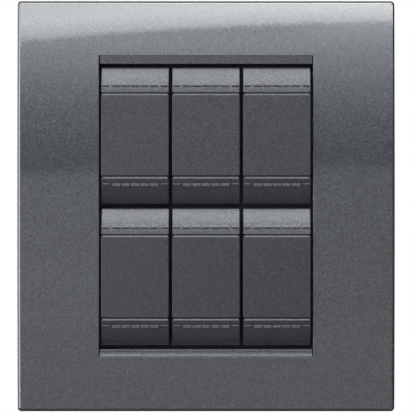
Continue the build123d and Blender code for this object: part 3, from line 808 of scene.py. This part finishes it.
FLOOR_Z = -0.24
FLOOR_HALF = 1.6
FLOOR_FINISH = {"Base Color": (0.86, 0.86, 0.86, 1.0), "Roughness": 0.9, "Specular IOR Level": 0.0}
FLOOR_GLOW = 0.7
WHITE = (1.0, 1.0, 1.0, 1.0)
BLACK_PAINT = (0.02, 0.02, 0.02, 1.0)
GREY_PAINT = (0.43, 0.385, 0.44, 1.0)
CARD_PLACE = (0, -1.6, 0.15)
CARD_HALF = (1.4, 0.62)
CARD_STRENGTH = 0.735
CARD_SIDE_X = (0.24, 0.34)
BOX_SLANT = (0.0985, 0.20)  # in the middle, and how much less a metre to the right
BOX_EDGE_Z = (0.331, 0.341)
BOX_RISE_Z = (0.331, 0.369)
BOX_LEVEL = (3.8, 6.3)
BOX_GAIN = (1.035, 0.85)  # in the middle, and how much more a metre to the right
BOX_TOP_Z = (0.41, 0.45)
BOX_REST = 0.05
HIGH_STRIP_Z = 0.563
HIGH_STRIP_HALF = (0.025, 0.05)
HIGH_STRIP_LEVEL = 1.4
SIDE_STRIP_X = 0.36
SIDE_STRIP_HALF = (0.02, 0.05)
SIDE_STRIP_LEVEL = 5.6
CLIMB_Z = (0.08, 0.31)
CLIMB_LEVEL = (0.16, 1.85)  # at the horizon, and how much more at the top
WING_X = (0.24, 0.5)
WING_REST = 0.35
HAZE_Z = (0.29, 0.335)
HAZE_X = (0.06, 0.16)
HAZE_LEVEL = 0.38
HORIZON_Z = (0.062, 0.088)
HORIZON_TOP_X = 0.1
HORIZON_BEND = 0.19
SWEEP_X = (-0.2, 0.2)
SWEEP_LEVEL = (0.59, 0.475)
SWEEP_Z = (-0.25, 0.05)
SWEEP_GAIN = (1.12, 0.95)
SWEEP_SIDE_GAIN = 2.6
COOL_Z = (0.13, 0.2)
COOL_RED = (0.05, 0.02)  # less red on the card, and how much of that is undone on the soft box
COOL_BLUE = (0.042, 0.042)  # the same for more blue
LOW_Z = -0.235
LOW_SWEEP_LEVEL = 0.42
LOW_STRIP_X = (0.06, -0.188)  # at the wall, and how much more a metre in Y
LOW_STRIP_HALF = (0.02, 0.045)
LOW_STRIP_LEVEL = 4.1
SKY_LEVEL = (1.0, 0.45)
CAMERA_PLACE = (0, -0.7358, 0.00008)
LENS = 200.0
SENSOR = 36.0
CLIP = (0.01, 20.0)


def sheet(name, middle, across, up, material, seen=False):
    """A flat rectangle from its middle and its two half-lengths, seen by the camera or only mirrored."""
    middle, across, up = (np.array(v, float) for v in (middle, across, up))
    corner = np.array([(-1, -1), (1, -1), (1, 1), (-1, 1)])
    points = middle + corner[:, :1] * across + corner[:, 1:] * up
    mesh = bpy.data.meshes.new(name)
    mesh.from_pydata(points.tolist(), [], [(0, 1, 2, 3)])
    mesh.materials.append(material)
    flat = bpy.data.objects.new(name, mesh)
    bpy.context.collection.objects.link(flat)
    flat.visible_camera = seen
    return flat


def matt(name, colour):
    """Plain matt paint for the studio's own sheets."""
    return new_finish(name, {"Base Color": colour, "Roughness": 1.0, "Specular IOR Level": 0.0})[0]


def glow(name):
    """An emission material, its lamp and its X, Y and Z, for a card that gives light."""
    material = bpy.data.materials.new(name)
    material.use_nodes = True
    material.node_tree.nodes.clear()
    place = lay(material, "ShaderNodeTexCoord").outputs["Object"]
    lamp = lay(material, "ShaderNodeEmission")
    lay(material, "ShaderNodeOutputMaterial", None, {"Surface": lamp.outputs[0]})
    return material, lamp, lay(material, "ShaderNodeSeparateXYZ", None, {0: place}).outputs


def sums(material, operation, first, second=0.0):
    """One step of arithmetic on values or sockets."""
    return lay(material, "ShaderNodeMath", {"operation": operation}, {0: first, 1: second}).outputs[0]


def plus(material, first, second):
    """The sum of two values or sockets."""
    return sums(material, "ADD", first, second)


def minus(material, first, second):
    """The first less the second."""
    return sums(material, "SUBTRACT", first, second)


def times(material, first, *others):
    """The product of values or sockets, from left to right."""
    for other in others:
        first = sums(material, "MULTIPLY", first, other)
    return first


def away(material, value, place):
    """The distance of a value from a place."""
    return sums(material, "ABSOLUTE", minus(material, value, place))


floor_paint, floor_shader, _ = new_finish("pale_floor", FLOOR_FINISH)
floor_white = lay(floor_paint, "ShaderNodeEmission", None, {"Color": WHITE, "Strength": 1.0})
ray = lay(floor_paint, "ShaderNodeLightPath").outputs
clear_ray = plus(floor_paint, ray["Is Glossy Ray"], ray["Is Transmission Ray"])
seen_floor = times(floor_paint, plus(floor_paint, ray["Is Camera Ray"], clear_ray), FLOOR_GLOW)
blend = lay(floor_paint, "ShaderNodeMixShader", None,
            {0: seen_floor, 1: floor_shader.outputs[0], 2: floor_white.outputs[0]})
floor_end = floor_paint.node_tree.nodes["Material Output"]
floor_paint.node_tree.links.new(blend.outputs[0], floor_end.inputs["Surface"])
sheet("floor", (0, 0, FLOOR_Z), (FLOOR_HALF, 0, 0), (0, FLOOR_HALF, 0), floor_paint, seen=True)

card, card_lamp, card_axes = glow("graduated_card")
card_x, card_z = card_axes["X"], card_axes["Z"]
# Soft box seen over the card's slanted upper edge.
slant = minus(card, BOX_SLANT[0], times(card, card_x, BOX_SLANT[1]))
edge_line = minus(card, card_z, times(card, card_x, slant))
box_mask = ramp(card, edge_line, *BOX_EDGE_Z)
box_rise = ramp(card, edge_line, *BOX_RISE_Z, *BOX_LEVEL, eased=False)
box_rise = times(card, box_rise, plus(card, times(card, card_x, BOX_GAIN[1]), BOX_GAIN[0]))
box_end = ramp(card, card_z, *BOX_TOP_Z, 1.0, BOX_REST)
# Second strip above it, which only the plate's upper shoulder mirrors.
high_strip = ramp(card, away(card, card_z, HIGH_STRIP_Z), *HIGH_STRIP_HALF, HIGH_STRIP_LEVEL, 0.0)
box_end = plus(card, box_end, high_strip)
# Upright strips at both sides, which only the plate's side shoulders mirror: bright to the left, dark to the
# right below the horizon and as bright as the middle above it.
to_side = away(card, card_x, 0.0)
side_strip = ramp(card, away(card, to_side, SIDE_STRIP_X), *SIDE_STRIP_HALF, 1.0, 0.0)
on_left = sums(card, "LESS_THAN", card_x, 0.0)
right_strip = times(card, side_strip, minus(card, 1.0, on_left))
box_side = sums(card, "MAXIMUM", ramp(card, to_side, *CARD_SIDE_X, 1.0, BOX_REST), right_strip)
box_level = times(card, box_mask, box_rise, times(card, box_end, box_side))
# Gradient that rises from the horizon to that edge, less bright towards the card's sides.
climb = ramp(card, card_z, *CLIMB_Z, eased=False)
climb_level = plus(card, times(card, climb, climb, CLIMB_LEVEL[1]), CLIMB_LEVEL[0])
wings = sums(card, "MAXIMUM", ramp(card, to_side, *WING_X, 1.0, WING_REST), right_strip)
climb_level = times(card, climb_level, minus(card, 1.0, box_mask), wings)
# Haze under the soft box's right end.
haze = times(card, ramp(card, edge_line, *HAZE_Z, 0.0, HAZE_LEVEL), ramp(card, card_x, *HAZE_X))
climb_level = times(card, climb_level, plus(card, haze, 1.0))
# Paler sweep below the arched horizon.
from_top = minus(card, card_x, HORIZON_TOP_X)
arch = plus(card, card_z, times(card, from_top, from_top, HORIZON_BEND))
below = ramp(card, arch, *HORIZON_Z, 1.0, 0.0)
sweep_level = ramp(card, card_x, *SWEEP_X, *SWEEP_LEVEL, eased=False)
sweep_near = ramp(card, card_z, *SWEEP_Z, *SWEEP_GAIN, eased=False)
sweep_wide = ramp(card, to_side, *CARD_SIDE_X, 1.0, SWEEP_SIDE_GAIN)
# All of them together.
lower = times(card, below, sweep_level, sweep_near, sweep_wide)
upper = times(card, minus(card, 1.0, below), plus(card, climb_level, box_level))
unlit = times(card, side_strip, sums(card, "MAXIMUM", on_left, below))
card_level = times(card, plus(card, lower, upper), minus(card, 1.0, unlit))
card_level = plus(card, card_level, times(card, side_strip, on_left, SIDE_STRIP_LEVEL))
card.node_tree.links.new(times(card, card_level, CARD_STRENGTH), card_lamp.inputs["Strength"])
# The upper half of the card is a little cooler than the sweep, the soft box itself less so.
cool = ramp(card, card_z, *COOL_Z, eased=False)
less_red = minus(card, COOL_RED[0], times(card, box_mask, COOL_RED[1]))
more_blue = minus(card, COOL_BLUE[0], times(card, box_mask, COOL_BLUE[1]))
tint = lay(card, "ShaderNodeCombineColor", None,
           {"Red": minus(card, 1.0, times(card, cool, less_red)), "Green": 1.0,
            "Blue": plus(card, 1.0, times(card, cool, more_blue))})
card.node_tree.links.new(tint.outputs[0], card_lamp.inputs["Color"])
sheet("graduated_card", CARD_PLACE, (CARD_HALF[0], 0, 0), (0, 0, CARD_HALF[1]), card)

# Low sweep in front of the card. Both side strips run on over it, along the lines that the plate's shoulders
# mirror.
sweep, sweep_lamp, sweep_axes = glow("low_sweep")
strip_x = plus(sweep, times(sweep, sweep_axes["Y"], LOW_STRIP_X[1]), LOW_STRIP_X[0])
strip_off = away(sweep, away(sweep, sweep_axes["X"], 0.0), strip_x)
low_strip = ramp(sweep, strip_off, *LOW_STRIP_HALF, 1.0, 0.0)
left_level = times(sweep, sums(sweep, "LESS_THAN", sweep_axes["X"], 0.0), LOW_STRIP_LEVEL)
plain_level = times(sweep, minus(sweep, 1.0, low_strip), LOW_SWEEP_LEVEL)
low_level = plus(sweep, times(sweep, low_strip, left_level), plain_level)
sweep.node_tree.links.new(low_level, sweep_lamp.inputs["Strength"])

black, grey = matt("black_flag", BLACK_PAINT), matt("grey_flag", GREY_PAINT)
sheet("right_flag", (0.9, -0.35, 0.1), (0, 0.85, 0), (0, 0, 0.75), black)
sheet("top_flag", (0, 0.39, 0.45), (0.8, 0, 0), (0, 0.51, 0), black)
# Low sheets from the wall to the card: name, middle in Y, half-lengths in X and Y, material.
low_sheets = (("near_flag", 0.35, 0.8, 0.45, black), ("low_flag", -0.295, 0.8, 0.195, grey),
              ("low_band", -0.56, 0.8, 0.07, black), ("far_flag", -0.685, 0.8, 0.055, grey),
              ("low_sweep", -1.17, 1.4, 0.43, sweep))
for name, y, half_x, half_y, material in low_sheets:
    low_sheet = sheet(name, (0, y, LOW_Z), (half_x, 0, 0), (0, half_y, 0), material)
    low_sheet.visible_diffuse = False
    low_sheet.visible_shadow = False


def soft_box(name, place, target, size, power):
    """A rectangular soft box aimed at a point."""
    lamp = bpy.data.lights.new(name, "AREA")
    lamp.shape = "RECTANGLE"
    lamp.size, lamp.size_y = size
    lamp.energy = power
    box = bpy.data.objects.new(name, lamp)
    box.location = place
    aim = np.array(target, float) - np.array(place, float)
    box.rotation_mode = "QUATERNION"
    box.rotation_quaternion = Vector(aim).to_track_quat("-Z", "Y")
    box.visible_camera = False
    bpy.context.collection.objects.link(box)


soft_box("top_box", place=(-0.1, -0.74, 1.08), target=(0, -0.05, 0), size=(1.2, 1.0), power=14.2)
soft_box("left_box", place=(-1.1, -0.75, 0.15), target=(0, 0, 0), size=(0.9, 0.9), power=6.0)

world = bpy.data.worlds.new("pale_studio")
world.use_nodes = True
bpy.context.scene.world = world
sky = world.node_tree.nodes["Background"]
sky.inputs["Color"].default_value = WHITE
sky_ray = lay(world, "ShaderNodeLightPath").outputs["Is Diffuse Ray"]
sky_level = ramp(world, sky_ray, 0.0, 1.0, *SKY_LEVEL, eased=False)
world.node_tree.links.new(sky_level, sky.inputs["Strength"])

lens = bpy.data.cameras.new("front_camera")
lens.lens = LENS
lens.sensor_width = SENSOR
lens.clip_start, lens.clip_end = CLIP
camera = bpy.data.objects.new("front_camera", lens)
camera.location = CAMERA_PLACE
camera.rotation_euler = (math.pi / 2, 0, 0)
bpy.context.collection.objects.link(camera)
bpy.context.scene.camera = camera
